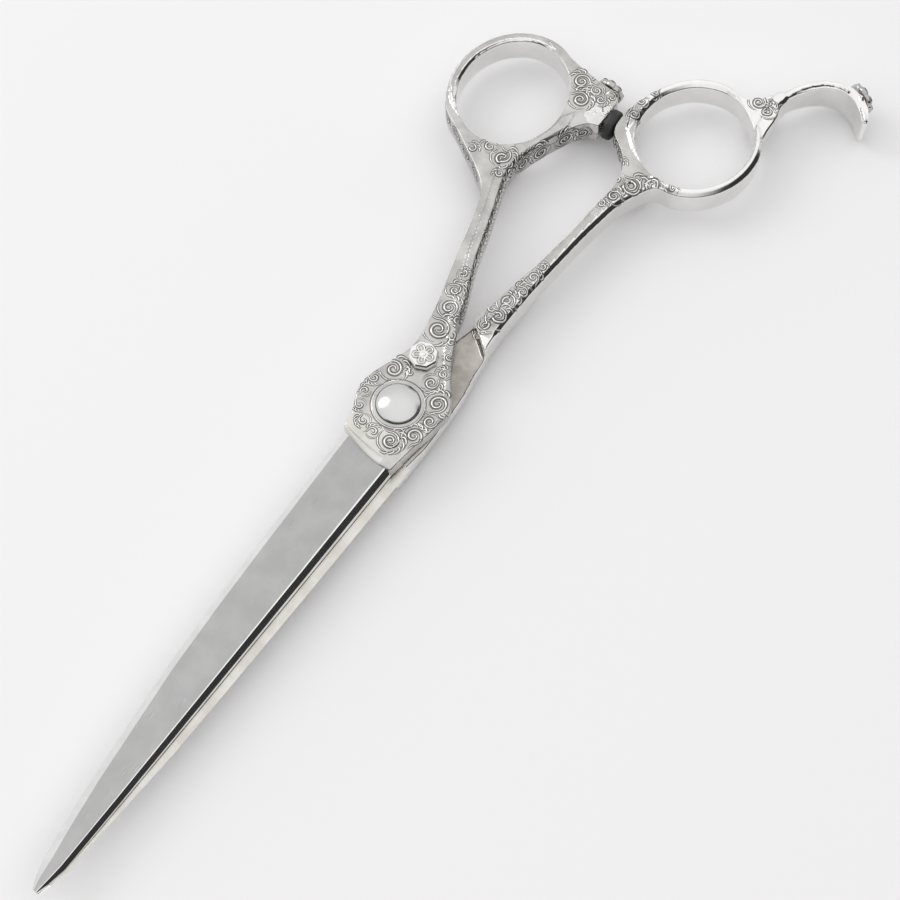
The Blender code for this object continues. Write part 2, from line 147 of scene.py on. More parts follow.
def split_xyz(tree, vector):
    """The three numbers of a vector."""
    node = tree.nodes.new("ShaderNodeSeparateXYZ")
    connect(tree, node.inputs[0], vector)
    return [Socket(tree, output) for output in node.outputs]


def finished(name, maker):
    """The mesh that a bmesh has built."""
    mesh = bpy.data.meshes.new(name)
    maker.to_mesh(mesh)
    maker.free()
    return mesh


SKY_LEVEL = 1.26
SKY_HORIZON = (0.70, 0.70, 0.71, 1)
SKY_OVERHEAD = (0.86, 0.855, 0.85, 1)
SKY_DIM = (0.03, 0.03, 0.032, 1)
world = bpy.data.worlds.new("studio")
bpy.context.scene.world = world
world.use_nodes = True
sky = world.node_tree
sky.nodes.clear()
sky_x, sky_y, sky_z = split_xyz(sky, shader_node(sky, "ShaderNodeTexCoord", out="Generated"))
viewer_side = 0.90 * sky_x - 0.44 * sky_y
near_side = viewer_side.ramp(0.0, 0.35)
low_band = 1.0 - sky_z.ramp(0.40, 0.58)
dim = near_side * low_band
overhead = sky_z.ramp(0.2, 1.0)
sky_white = mixed(sky, overhead, SKY_HORIZON, SKY_OVERHEAD)
sky_colour = mixed(sky, dim, sky_white, SKY_DIM)
background = shader_node(sky, "ShaderNodeBackground", Color=sky_colour, Strength=SKY_LEVEL)
sky_out = sky.nodes.new("ShaderNodeOutputWorld")
sky.links.new(sky_out.inputs[0], background.output)

KEY_SIZE = 0.35
KEY_POWER = 0.75
KEY_PLACE = Vector((-0.58, -0.04, 0.46))
key_data = bpy.data.lights.new("key", "AREA")
key_data.shape = "DISK"
key_data.size = KEY_SIZE
key_data.energy = KEY_POWER
key = bpy.data.objects.new("key", key_data)
key.location = KEY_PLACE
key.rotation_euler = KEY_PLACE.to_track_quat("Z", "Y").to_euler()
bpy.context.scene.collection.objects.link(key)

TABLE_SIZE = 3.0
TABLE_DROP = 0.02 * MM  # the nut's flat underside stands just clear of the table
table_maker = bmesh.new()
bmesh.ops.create_grid(table_maker, x_segments=1, y_segments=1, size=TABLE_SIZE / 2)
bmesh.ops.translate(table_maker, vec=(0, 0, -TABLE_DROP), verts=table_maker.verts)
table_mesh = finished("table", table_maker)
table = bpy.data.objects.new("table", table_mesh)
bpy.context.scene.collection.objects.link(table)
paper = bpy.data.materials.new("white_sweep")
paper.use_nodes = True
paper_shader = paper.node_tree.nodes["Principled BSDF"]
paper_shader.inputs["Base Color"].default_value = (0.90, 0.895, 0.90, 1)
paper_shader.inputs["Roughness"].default_value = 0.9
paper_shader.inputs["Specular IOR Level"].default_value = 0.0
table_mesh.materials.append(paper)


# ---------------------------------------------------------------------------------------------
# The two blades
# Forged stainless blades, ground flat. The upper one has a satin face, a bright bevel along the
# cutting edge and a polished spine; each one runs up into the shoulder of its handle.
# ---------------------------------------------------------------------------------------------
def new_material(name):
    made = bpy.data.materials.new(name)
    made.use_nodes = True
    return made, made.node_tree, made.node_tree.nodes["Principled BSDF"]


def object_place(tree, stretch):
    """Object coordinates, stretched along each axis."""
    place = shader_node(tree, "ShaderNodeTexCoord", out="Object")
    node = tree.nodes.new("ShaderNodeVectorMath")
    node.operation = "MULTIPLY"
    connect(tree, node.inputs[0], place)
    connect(tree, node.inputs[1], stretch)
    return Socket(tree, node.outputs[0])


def noise(tree, stretch, scale, detail=3.0):
    """Cloudy noise on object coordinates; a small stretch along an axis draws it out along it."""
    return shader_node(
        tree, "ShaderNodeTexNoise", Vector=object_place(tree, stretch), Scale=scale, Detail=detail
    )


def bump(tree, height, distance, strength=1.0):
    return shader_node(tree, "ShaderNodeBump", Height=height, Distance=distance, Strength=strength)


def steel(
    name, dark, light, rough, grain=0.0, along=(1.0, 1.0, 1.0), wave=0.0, punched=0.0, scratches=0.0
):
    """Steel whose roughness and colour wander, with optional grain, punched ground and scratches."""
    made, tree, shader = new_material(name)
    shader.inputs["Metallic"].default_value = 1.0
    cloud = noise(tree, (1.0, 1.0, 1.0), 260.0)
    streak = noise(tree, along, 2600.0, 2.0)
    hairline = noise(tree, (1.0, 0.035, 1.0), 7000.0, 0.0).ramp(0.70, 0.80)
    hairline = hairline * noise(tree, (1.0, 1.0, 1.0), 330.0).ramp(0.45, 0.65) * scratches
    shade = (cloud.ramp(0.3, 0.75) + hairline).clamped()
    connect(tree, shader.inputs["Base Color"], mixed(tree, shade, dark, light))
    connect(tree, shader.inputs["Roughness"], rough + 0.10 * (cloud - 0.5) + 0.10 * (streak - 0.5))
    height = streak * grain + noise(tree, (1.0, 1.0, 1.0), 420.0) * wave
    height = height - hairline * 0.3
    if punched:
        place = object_place(tree, (1.0, 1.0, 1.0))
        dents = shader_node(tree, "ShaderNodeTexVoronoi", Vector=place, Scale=2100.0, Randomness=0.85)
        patches = noise(tree, (1.0, 1.0, 1.0), 170.0).ramp(0.42, 0.62)
        height = height + dents.ramp(0.1, 0.5) * patches * punched
    connect(tree, shader.inputs["Normal"], bump(tree, height, 0.0001))
    return made


blade_steel = steel(
    "blade_satin",
    (0.40, 0.40, 0.40, 1),
    (0.445, 0.445, 0.445, 1),
    0.36,
    grain=0.10,
    along=(1.0, 0.03, 1.0),
    scratches=0.8,
)
bevel_steel = steel(
    "blade_bevel", (0.76, 0.76, 0.75, 1), (0.84, 0.84, 0.83, 1), 0.24, grain=0.06, along=(0.1, 1.0, 1.0)
)
ricasso_steel = steel("ricasso_steel", (0.62, 0.605, 0.565, 1), (0.74, 0.725, 0.69, 1), 0.24, 0.06)
mirror_steel = steel("mirror_steel", (0.84, 0.835, 0.82, 1), (0.90, 0.895, 0.88, 1), 0.08, 0.01, wave=0.05)

# Lengths are in millimetres, from the pivot's axis, with the tips towards -Y.
SHOULDER_Y = -10.95
FIRST_SECTION_Y = -13.5  # the blade's own sections all lie below this
PLUG = 3.6  # how far a blade runs up into its handle
SPINE_LIGHT = 0.24  # width of the bright strip above the spine chamfer
SPINE_NARROWS = 0.35  # share of the spine chamfer lost towards the tip
NARROWS_FROM_Y = -14.0
NARROWS_OVER = 75.0
SPINE_STEEPNESS = 1.1  # fall of the spine chamfer for each step across it
SPINE_DRAFT = 1.3  # how much narrower the lower blade is at the top of its spine than at its foot
SPINE_REACH = 0.5  # points this close to the right edge belong to the spine
FULL_WIDTH = 8.0  # a blade narrower than this has less draft


def add_object(name, mesh):
    obj = bpy.data.objects.new(name, mesh)
    bpy.context.scene.collection.objects.link(obj)
    return obj


def paint(obj, materials, choose):
    """Gives each face the material whose number choose(centre, normal) returns."""
    for made in materials:
        obj.data.materials.append(made)
    picks = [choose(face.center / MM, face.normal) for face in obj.data.polygons]
    obj.data.polygons.foreach_set("material_index", picks)
    obj.data.update()


def lofted(name, rings):
    """A closed piece over rings of points with the same count, smooth along its sides."""
    maker = bmesh.new()
    rows = [[maker.verts.new(point) for point in ring] for ring in rings]
    for near, far in zip(rows, rows[1:]):
        for i in range(len(near)):
            j = (i + 1) % len(near)
            maker.faces.new((near[i], near[j], far[j], far[i])).smooth = True
    maker.faces.new(list(reversed(rows[0])))
    maker.faces.new(rows[-1])
    bmesh.ops.recalc_face_normals(maker, faces=maker.faces)
    return add_object(name, finished(name, maker))


def sections_of(node):
    """The blade's cross-sections below the shoulder: [(y, [(x, z), ...])], each in order round it."""
    stations = {}
    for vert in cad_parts[node].data.vertices:
        x, y, z = vert.co / MM
        if y < FIRST_SECTION_Y:
            stations.setdefault(round(y, 1), set()).add((round(x, 2), round(z, 2)))
    found = []
    for y in sorted(stations, reverse=True):
        points = list(stations[y])
        middle_x = sum(x for x, _ in points) / len(points)
        middle_z = sum(z for _, z in points) / len(points)
        points.sort(key=lambda p: math.atan2(p[1] - middle_z, p[0] - middle_x))
        found.append((y, points))
    return found


def straightened(points, first, last):
    """Moves the points between two places in the ring onto the line that joins them."""
    (x0, z0), (x1, z1) = points[first], points[last]
    for i in range(first + 1, last):
        share = (i - first) / (last - first)
        points[i] = (x0 + (x1 - x0) * share, z0 + (z1 - z0) * share)


def drafted(points):
    """Leans the lower blade's spine inwards towards the top, less where the blade is narrow."""
    left = min(x for x, _ in points)
    right = max(x for x, _ in points)
    low_z = min(z for x, z in points if x > right - SPINE_REACH)
    high_z = max(z for _, z in points)
    lean = SPINE_DRAFT * min(1.0, (right - left) / FULL_WIDTH)
    for i, (x, z) in enumerate(points):
        if x > right - SPINE_REACH:
            points[i] = (x - lean * (z - low_z) / (high_z - low_z), z)


def spine_chamfered(points, y):
    """Shapes the upper blade's spine: a bright strip, then a true chamfer that narrows to the tip.

    Going round the ring, place 3 is the foot of the chamfer, 4 its head, and 5 the edge of the face.
    """
    straightened(points, 3, 5)
    straightened(points, 5, 7)
    narrow = SPINE_NARROWS * min(1.0, max(0.0, (NARROWS_FROM_Y - y) / NARROWS_OVER))
    (x_face, z_face), (x_foot, z_foot) = points[5], points[3]
    points[5] = (x_face + (x_foot - x_face) * narrow, z_face + (z_foot - z_face) * narrow)
    strip = SPINE_LIGHT * (1 - 0.6 * narrow / SPINE_NARROWS)
    points[4] = (points[5][0] + strip, points[5][1] - 0.3 * strip)
    points[3] = (x_foot, points[4][1] - SPINE_STEEPNESS * (x_foot - points[4][0]))
    straightened(points, 5, 7)


def blade_piece(name, node):
    """A loft through the blade's sections, run straight up into the handle."""
    sections = sections_of(node)
    count = max(len(points) for _, points in sections)
    sections = [(y, points) for y, points in sections if len(points) == count]
    (y0, ring0), (y1, ring1) = sections[0], sections[1]
    slope = [((a[0] - b[0]) / (y0 - y1), (a[1] - b[1]) / (y0 - y1)) for a, b in zip(ring0, ring1)]
    for y in (SHOULDER_Y, SHOULDER_Y + PLUG):
        step = y - y0
        ring = [(a[0] + d[0] * step, a[1] + d[1] * step) for a, d in zip(ring0, slope)]
        sections.insert(0, (y, ring))
    rings = []
    for y, points in sections:
        if node == "thumb_blade":
            spine_chamfered(points, y)
        else:
            drafted(points)
        rings.append([Vector((x, y, z)) * MM for x, z in points])
    blade = lofted(name, rings)
    blade.data.set_sharp_from_angle(angle=math.radians(8))
    return blade


def blade_choice(centre, normal):
    """Flat faces first, then the cutting bevel, which leans left, then the spine, which leans right."""
    if normal.z > 0.97:
        return 0
    if normal.x < -0.3:
        return 1
    return 2


for blade_name, blade_node, blade_body, face_steel in (
    ("upper_blade", "thumb_blade", "thumb_half", blade_steel),
    ("lower_blade", "finger_blade", "finger_half", ricasso_steel),
):
    blade = blade_piece(blade_name, blade_node)
    paint(blade, (face_steel, bevel_steel, mirror_steel), blade_choice)
    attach(blade, blade_body)


# ---------------------------------------------------------------------------------------------
# The two handles
# Cast steel handles welded to the blades' tangs and polished over as one, so each is one skin
# over its handle and pivot plate, with the weld closed, the rims soft and the top edges chamfered.
# ---------------------------------------------------------------------------------------------
# painted shade: darker brownish steel for the recess under the upper half and the cover flower's hollows
recess_shade_steel = steel("recess_shade_steel", (0.30, 0.28, 0.255, 1), (0.52, 0.50, 0.47, 1), 0.26, 0.05, wave=0.2)
carved_steel = steel(
    "carved_steel", (0.46, 0.45, 0.435, 1), (0.64, 0.63, 0.615, 1), 0.21, 0.04, wave=0.25, punched=0.35
)
hammered_steel = steel(
    "hammered_steel", (0.66, 0.65, 0.64, 1), (0.84, 0.83, 0.82, 1), 0.14, wave=0.3, punched=2.2
)

SKIN = 0.26 * MM  # voxel size of the skins
WELD_LAP = 1.0 * MM
BROAD_SIDE = Vector((0.87, -0.5, 0.0))  # the side the broad chamfers face
PROBE_BACK = 0.3  # a ray that measures a wall starts this far inside it
SHOULDER_CURVE = 2.2  # how much higher the shoulder starts at the cutting edge
CURVE_FROM_Y = -5.5
CURVE_OVER = 4.6
CURVE_RIGHT_X = 3.6
CURVE_WIDTH = 8.2
EASE_FROM_Y = -3.0
EASE_OVER = 7.4
EASE_FROM_X = 4.0
EASE_WIDTH = 2.0
LOWER_PLATE_FOOT = 1.8
LOWER_PLATE_TALL = 2.8
EASE_AT_FOOT = 0.25  # how far the foot of the lower plate's spine side comes in

thumb_low, thumb_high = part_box("thumb_blade")
finger_low, finger_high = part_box("finger_blade")
top_z = thumb_high.z / MM
split_high_z = thumb_low.z / MM  # underside of the upper half


def blend_steps(steps):
    """A function of y that runs straight between the given (y, value) pairs."""

    def value_at(y):
        if y <= steps[0][0]:
            return steps[0][1]
        for (y0, v0), (y1, v1) in zip(steps, steps[1:]):
            if y <= y1:
                return v0 + (v1 - v0) * (y - y0) / (y1 - y0)
        return steps[-1][1]

    return value_at


narrow_depth = blend_steps(((50, 0.0), (58, 0.45), (97, 0.45)))  # the chamfer round the rings' far side


def cut_off_below(maker, y):
    """Cuts away all that lies below y and closes the cut."""
    cut = bmesh.ops.bisect_plane(
        maker,
        geom=maker.verts[:] + maker.edges[:] + maker.faces[:],
        plane_co=(0, y * MM, 0),
        plane_no=(0, 1, 0),
        clear_inner=True,
    )
    rim = [item for item in cut["geom_cut"] if isinstance(item, bmesh.types.BMEdge)]
    bmesh.ops.holes_fill(maker, edges=rim, sides=0)


def joined_mesh(nodes, weld):
    """The named solids in one mesh, with a block that closes the weld between them."""
    maker = bmesh.new()
    for node in nodes:
        maker.from_mesh(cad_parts[node].data)
    bmesh.ops.remove_doubles(maker, verts=maker.verts, dist=0.001 * MM)
    cut_off_below(maker, SHOULDER_Y + 0.5)
    low, high = weld
    block = bmesh.ops.create_cube(maker, size=1.0)["verts"]
    bmesh.ops.scale(maker, vec=high - low, verts=block)
    bmesh.ops.translate(maker, vec=(low + high) / 2, verts=block)
    mesh = finished("joined", maker)
    mesh.materials.clear()
    return mesh


def applied(obj):
    """Bakes the object's modifiers into its mesh."""
    graph = bpy.context.evaluated_depsgraph_get()
    mesh = bpy.data.meshes.new_from_object(obj.evaluated_get(graph))
    old = obj.data
    obj.modifiers.clear()
    obj.data = mesh
    bpy.data.meshes.remove(old)
    return obj


def surface_of(obj):
    """The object's surface as a tree that rays can be cast at."""
    return BVHTree.FromObject(obj, bpy.context.evaluated_depsgraph_get())


def chamfer(obj, middle_z, depth_at, facing):
    """Planes the top rim on the side it faces down to 45 degrees, to a depth that varies with y."""
    tree = surface_of(obj)
    for vert in obj.data.vertices:
        x, y, z = vert.co / MM
        depth = depth_at(y)
        if depth <= 0 or z < top_z - depth - PROBE_BACK:
            continue
        start = Vector((x, y, middle_z)) - facing * PROBE_BACK
        hit, normal, _, far = tree.ray_cast(start * MM, facing, 3 * MM)
        inside = 0.0
        if hit is not None:
            inside = max(0.0, far / MM - PROBE_BACK) * max(0.5, abs(normal.dot(facing)))
        vert.co.z = min(vert.co.z, (top_z - depth + inside) * MM)
    obj.data.update()


def curve_shoulder(obj):
    """Bends the straight end of the upper plate into a curve that starts higher at the cutting edge."""
    for vert in obj.data.vertices:
        x, y, z = vert.co / MM
        if z > split_high_z and y < CURVE_FROM_Y:
            near_end = min(1.0, (CURVE_FROM_Y - y) / CURVE_OVER)
            across = min(1.0, max(0.0, (CURVE_RIGHT_X - x) / CURVE_WIDTH))
            vert.co.y += SHOULDER_CURVE * across**1.6 * near_end * near_end * MM


def ease_spine(obj):
    """Narrows the end of the lower plate on its spine side, so that the blade runs on from it."""
    for vert in obj.data.vertices:
        x, y, z = vert.co / MM
        if z < split_high_z and y < EASE_FROM_Y and x > EASE_FROM_X:
            height = min(1.0, max(0.0, (z - LOWER_PLATE_FOOT) / LOWER_PLATE_TALL))
            lean = EASE_AT_FOOT + (SPINE_DRAFT - EASE_AT_FOOT) * height
            near_end = min(1.0, (EASE_FROM_Y - y) / EASE_OVER)
            near_edge = min(1.0, (x - EASE_FROM_X) / EASE_WIDTH)
            vert.co.x -= lean * near_end * near_edge * MM


def skin(name, nodes, weld, middle_z, depth_at):
    """One skin over the named solids; middle_z is a height at which the walls stand upright."""
    obj = add_object(name, joined_mesh(nodes, weld))
    remesh = obj.modifiers.new("skin", "REMESH")
    remesh.mode = "VOXEL"
    remesh.voxel_size = SKIN
    remesh.use_smooth_shade = True
    soften = obj.modifiers.new("soften", "SMOOTH")
    soften.factor = 0.5
    soften.iterations = 4
    applied(obj)
    chamfer(obj, middle_z, depth_at, BROAD_SIDE)
    chamfer(obj, middle_z, narrow_depth, -BROAD_SIDE)
    curve_shoulder(obj)
    ease_spine(obj)
    settle = obj.modifiers.new("settle", "SMOOTH")
    settle.factor = 0.5
    settle.iterations = 2
    return applied(obj)


thumb_weld = (
    Vector((-4.8 * MM, thumb_high.y - WELD_LAP, thumb_low.z + 0.2 * MM)),
    Vector((-1.2 * MM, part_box("thumb_handle")[0].y + WELD_LAP, thumb_high.z - 0.01 * MM)),
)
finger_weld = (
    Vector((-0.6 * MM, finger_high.y - WELD_LAP, finger_low.z + 0.2 * MM)),
    Vector((5.9 * MM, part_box("finger_handle")[0].y + WELD_LAP, finger_high.z - 0.01 * MM)),
)
# Depth of the broad chamfer along each half, as (y, depth).
thumb_depth = blend_steps(((-11, 0.35), (0, 0.2), (18, 0.25), (26, 0.5), (45, 0.6), (52, 0.7), (75, 0.5)))
finger_depth = blend_steps(((17, 0.0), (20, 0.75), (45, 0.85), (60, 0.9), (85, 0.8), (97, 0.4)))

RICASSO_TOP_Y = -4.6  # the plain steel below the carving on the upper plate
RICASSO_RIGHT_X = 3.5
THUMB_RING_FROM_Y = 53.0
THUMB_RING_RIGHT_X = -9.5
RECESS_TOP_Y = 19.8
CARVED_FROM_Y = 18.0
CARVED_TO_Y = 72.0
CARVED_RIGHT_X = 14.0
HAMMERED_AT = Vector((-3.2, 65.6))  # a bright hammered patch on the boss, beside the stop
HAMMERED_R = 2.6


def thumb_choice(centre, normal):
    """Plain ricasso at the shoulder, a hammered patch, a mirror ring, and carved ground elsewhere."""
    if centre.y < RICASSO_TOP_Y and centre.x < RICASSO_RIGHT_X:
        return 0
    if (centre.xy - HAMMERED_AT).length < HAMMERED_R:
        return 3
    on_ring = centre.y > THUMB_RING_FROM_Y and centre.x < THUMB_RING_RIGHT_X
    return 2 if on_ring and normal.z < 0.9 else 1


def finger_choice(centre, normal):
    """The recess over which the upper half swings, darker as painted shade, the carved top of the shank,
    and mirror walls.
    """
    if centre.y < RECESS_TOP_Y and normal.z > 0.6 and centre.z < split_high_z:
        return 0
    on_shank = CARVED_FROM_Y < centre.y < CARVED_TO_Y and centre.x < CARVED_RIGHT_X
    return 1 if on_shank and normal.z > 0.93 else 2


thumb_half = skin("thumb_half_skin", ("thumb_blade", "thumb_handle"), thumb_weld, 6.2, thumb_depth)
paint(thumb_half, (ricasso_steel, carved_steel, mirror_steel, hammered_steel), thumb_choice)
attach(thumb_half, "thumb_half")
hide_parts("thumb_blade", "thumb_handle")

finger_half = skin("finger_half_skin", ("finger_blade", "finger_handle"), finger_weld, 4.7, finger_depth)
paint(finger_half, (recess_shade_steel, carved_steel, mirror_steel), finger_choice)
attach(finger_half, "finger_half")
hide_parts("finger_blade", "finger_handle")


# ---------------------------------------------------------------------------------------------
# Carved scrollwork
# The cast handles are carved with C-scrolls, leaves and fans. Each line is a raised tapered
# ridge between dark grooves, laid on the surface below it; the grooves are flat dark ribbons
# coloured as oxide and painted shade.
# ---------------------------------------------------------------------------------------------
ridge_steel = steel("ridge_steel", (0.82, 0.815, 0.80, 1), (0.90, 0.895, 0.885, 1), 0.15, 0.02)
# oxide and painted shade for the groove ribbons; the darker one also paints the screw's shadow ring
oxide_and_shade = steel("dark_oxide_and_shade", (0.06, 0.055, 0.05, 1), (0.15, 0.14, 0.13, 1), 0.45, 0.05)
oxide_and_shade_soft = steel("soft_oxide_and_shade", (0.13, 0.125, 0.115, 1), (0.27, 0.26, 0.245, 1), 0.4, 0.05)

RIDGE_SINK = 0.35  # share of its radius that a ridge sits below the surface
GROOVE_SPREAD = 2.3  # groove width over ridge width
GROOVE_THICK = 0.22  # thickness of a groove's dark ribbon over its half width
RIDGE_SIDES = 8
PROBE_HIGH = 4.0  # a ray that finds the surface starts this far above a face
STROKE_BREAK = 0.6  # a stroke that jumps further than this is cut in two


class Face:
    """A patch of surface to carve: flat (u, v) in millimetres laid onto a skin along a direction."""

    def __init__(self, tree, centre, across, up, inward):
        self.tree = tree
        self.centre = Vector(centre)
        self.across = Vector(across).normalized()
        self.up = Vector(up).normalized()
        self.inward = Vector(inward).normalized()

    def put(self, u, v):
        """The surface point under (u, v) and its normal, or None past the edge."""
        place = self.centre + self.across * u + self.up * v
        start = (place - self.inward * PROBE_HIGH) * MM
        hit, normal, _, _ = self.tree.ray_cast(start, self.inward, 2 * PROBE_HIGH * MM)
        if hit is None or normal.dot(self.inward) > -0.3:
            return None
        return hit, normal


def scroll(radius, turns, start, hand, width):
    """A C-scroll as (u, v, radius) points: a tail, a narrowing coil and a round eye."""
    points = []
    count = int(30 * turns)
    for i in range(count + 1):
        t = i / count
        angle = start + hand * 2 * math.pi * turns * t
        reach = radius * (1 - 0.84 * t**0.85)
        swell = 0.55 + 0.45 * math.sin(math.pi * min(1.0, t * 1.2))
        points.append((reach * math.cos(angle), reach * math.sin(angle), width * swell))
    u, v, _ = points[-1]
    points[-1] = (u, v, width * 1.5)
    first = Vector(points[0][:2])
    heading = (first - Vector(points[1][:2])).normalized()
    side = Vector((-heading.y, heading.x)) * hand
    for i in range(1, 8):
        s = i / 7
        spot = first + heading * 0.8 * radius * s + side * 0.45 * radius * s * s
        points.insert(0, (spot.x, spot.y, width * (0.55 * (1 - s) + 0.15)))
    return points


def leaf_fan(radius, start, hand, lobes, width):
    """Curved lobes around the outside of a scroll."""
    strokes = []
    for i in range(lobes):
        begin = start + hand * (0.35 + 0.5 * i)
        reach = radius * (0.52 - 0.04 * i)
        stroke = []
        for j in range(8):
            t = j / 7
            far = radius * 1.2 + reach * math.sin(0.5 * math.pi * t)
            angle = begin + hand * 0.6 * t * t
            swell = 0.35 + 0.65 * math.sin(math.pi * (0.15 + 0.8 * t))
            stroke.append((far * math.cos(angle), far * math.sin(angle), width * swell))
        strokes.append(stroke)
    return strokes


def echo(radius, start, hand, width):
    """A thin line that follows the back of the coil."""
    stroke = []
    for i in range(14):
        t = i / 13
        angle = start - hand * (0.5 + 2.4 * t)
        far = radius * (1.34 - 0.12 * t)
        swell = math.sin(math.pi * (0.1 + 0.85 * t))
        stroke.append((far * math.cos(angle), far * math.sin(angle), width * swell))
    return stroke


def motif(u, v, radius, start, hand, turns=1.35, lobes=4, width=0.19):
    """A scroll with its fan, moved to a place on a face."""
    width *= min(1.0, 0.45 + radius / 3.2)
    lines = [scroll(radius, turns, start, hand, width)]
    lines += leaf_fan(radius, start, hand, lobes, width * 0.85)
    if radius > 0.75:
        lines.append(echo(radius, start, hand, width * 0.6))
    return [[(p[0] + u, p[1] + v, p[2]) for p in line] for line in lines]


def laid(face, strokes):
    """Strokes in (u, v, radius) laid on a face; a stroke is cut where it leaves the face."""
    lines = []
    for stroke in strokes:
        line = []
        for u, v, radius in stroke:
            found = face.put(u, v)
            if found and (not line or (found[0] - line[-1][0]).length < STROKE_BREAK * MM):
                line.append((found[0], found[1], radius))
                continue
            lines.append(line)
            line = []
        lines.append(line)
    return [line for line in lines if len(line) > 3]


def geometry_tree(name, inputs):
    """A geometry node group with these named inputs and one geometry output."""
    tree = bpy.data.node_groups.new(name, "GeometryNodeTree")
    for label, kind in inputs:
        tree.interface.new_socket(label, in_out="INPUT", socket_type="NodeSocket" + kind)
    tree.interface.new_socket("Geometry", in_out="OUTPUT", socket_type="NodeSocketGeometry")
    return tree, tree.nodes.new("NodeGroupInput"), tree.nodes.new("NodeGroupOutput")


def sweep_tree(name, flat):
    """Geometry nodes that sweep a round or a flat profile along the guide lines."""
    inputs = (("Guide", "Geometry"), ("Spread", "Float"), ("Material", "Material"))
    tree, into, out = geometry_tree(name, inputs)
    to_curve = tree.nodes.new("GeometryNodeMeshToCurve")
    set_up = tree.nodes.new("GeometryNodeSetCurveNormal")
    set_up.mode = "FREE"
    upward = tree.nodes.new("GeometryNodeInputNamedAttribute")
    upward.data_type = "FLOAT_VECTOR"
    upward.inputs["Name"].default_value = "line_up"
    radius = tree.nodes.new("GeometryNodeInputNamedAttribute")
    radius.data_type = "FLOAT"
    radius.inputs["Name"].default_value = "line_radius"
    times = tree.nodes.new("ShaderNodeMath")
    times.operation = "MULTIPLY"
    sweep = tree.nodes.new("GeometryNodeCurveToMesh")
    sweep.inputs["Fill Caps"].default_value = True
    smooth = tree.nodes.new("GeometryNodeSetShadeSmooth")
    smooth.inputs["Shade Smooth"].default_value = not flat
    real = tree.nodes.new("GeometryNodeRealizeInstances")
    coat = tree.nodes.new("GeometryNodeSetMaterial")
    link = tree.links.new
    if flat:
        profile = tree.nodes.new("GeometryNodeCurvePrimitiveQuadrilateral")
        profile.inputs["Width"].default_value = GROOVE_THICK
        profile.inputs["Height"].default_value = 2.0
    else:
        profile = tree.nodes.new("GeometryNodeCurvePrimitiveCircle")
        profile.inputs["Radius"].default_value = 1.0
        profile.inputs["Resolution"].default_value = RIDGE_SIDES
    link(to_curve.inputs["Mesh"], into.outputs["Guide"])
    link(set_up.inputs["Curve"], to_curve.outputs["Curve"])
    link(set_up.inputs["Normal"], upward.outputs["Attribute"])
    link(times.inputs[0], radius.outputs["Attribute"])
    link(times.inputs[1], into.outputs["Spread"])
    link(sweep.inputs["Curve"], set_up.outputs["Curve"])
    link(sweep.inputs["Scale"], times.outputs[0])
    link(sweep.inputs["Profile Curve"], profile.outputs["Curve"])
    link(smooth.inputs["Geometry"], sweep.outputs["Mesh"])
    link(real.inputs["Geometry"], smooth.outputs["Geometry"])
    link(coat.inputs["Geometry"], real.outputs["Geometry"])
    link(coat.inputs["Material"], into.outputs["Material"])
    link(out.inputs["Geometry"], coat.outputs["Geometry"])
    return tree


def run_tree(obj, tree, values):
    """Runs a geometry tree on the object with these named inputs and keeps the mesh it makes."""
    made = obj.modifiers.new("carving", "NODES")
    made.node_group = tree
    for item in tree.interface.items_tree:
        if item.in_out == "INPUT" and item.name in values:
            made[item.identifier] = values[item.name]
    return applied(obj)


def guide_mesh(name, lines, sink):
    """Lines on a surface with their radius and normal, lowered by a share of the radius."""
    points, edges, radii, normals = [], [], [], []
    for line in lines:
        for i, (spot, normal, radius) in enumerate(line):
            points.append(spot - normal * radius * sink * MM)
            radii.append(radius * MM)
            normals.extend(normal)
            if i:
                edges.append((len(points) - 2, len(points) - 1))
    mesh = bpy.data.meshes.new(name)
    mesh.from_pydata(points, edges, [])
    mesh.attributes.new("line_radius", "FLOAT", "POINT").data.foreach_set("value", radii)
    mesh.attributes.new("line_up", "FLOAT_VECTOR", "POINT").data.foreach_set("vector", normals)
    return mesh


ridge_tree = sweep_tree("raised_ridge", False)
groove_tree = sweep_tree("dark_groove", True)


def cut_lines(ridge_name, groove_name, lines, sink, spread, hollow_steel, body, slot):
    """Raised ridges along the lines, and dark grooves on both sides of each."""
    ridges = add_object(ridge_name, guide_mesh(ridge_name, lines, sink))
    run_tree(ridges, ridge_tree, {"Spread": 1.0, "Material": ridge_steel})
    # the groove ribbons are oxide and painted shade: flat dark bands in place of a cut hollow
    grooves = add_object(groove_name, guide_mesh(groove_name, lines, 0.0))
    run_tree(grooves, groove_tree, {"Spread": spread, "Material": hollow_steel})
    for piece in (ridges, grooves):
        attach(piece, body)


def carve(name, lines, body, hollow_steel=oxide_and_shade_soft):
    names = (name + "_ridges", name + "_grooves")
    cut_lines(*names, lines, RIDGE_SINK, GROOVE_SPREAD, hollow_steel, body, "handle_steel")


def carved(face, motifs):
    """Scrolls on a face, each as (x, y, radius, starting angle, hand, turns, leaves)."""
    lines = []
    for values in motifs:
        lines += laid(face, motif(*values))
    return lines


thumb_surface = surface_of(thumb_half)
finger_surface = surface_of(finger_half)
thumb_top = Face(thumb_surface, (0, 0, top_z), (1, 0, 0), (0, 1, 0), (0, 0, -1))
finger_top = Face(finger_surface, (0, 0, top_z), (1, 0, 0), (0, 1, 0), (0, 0, -1))

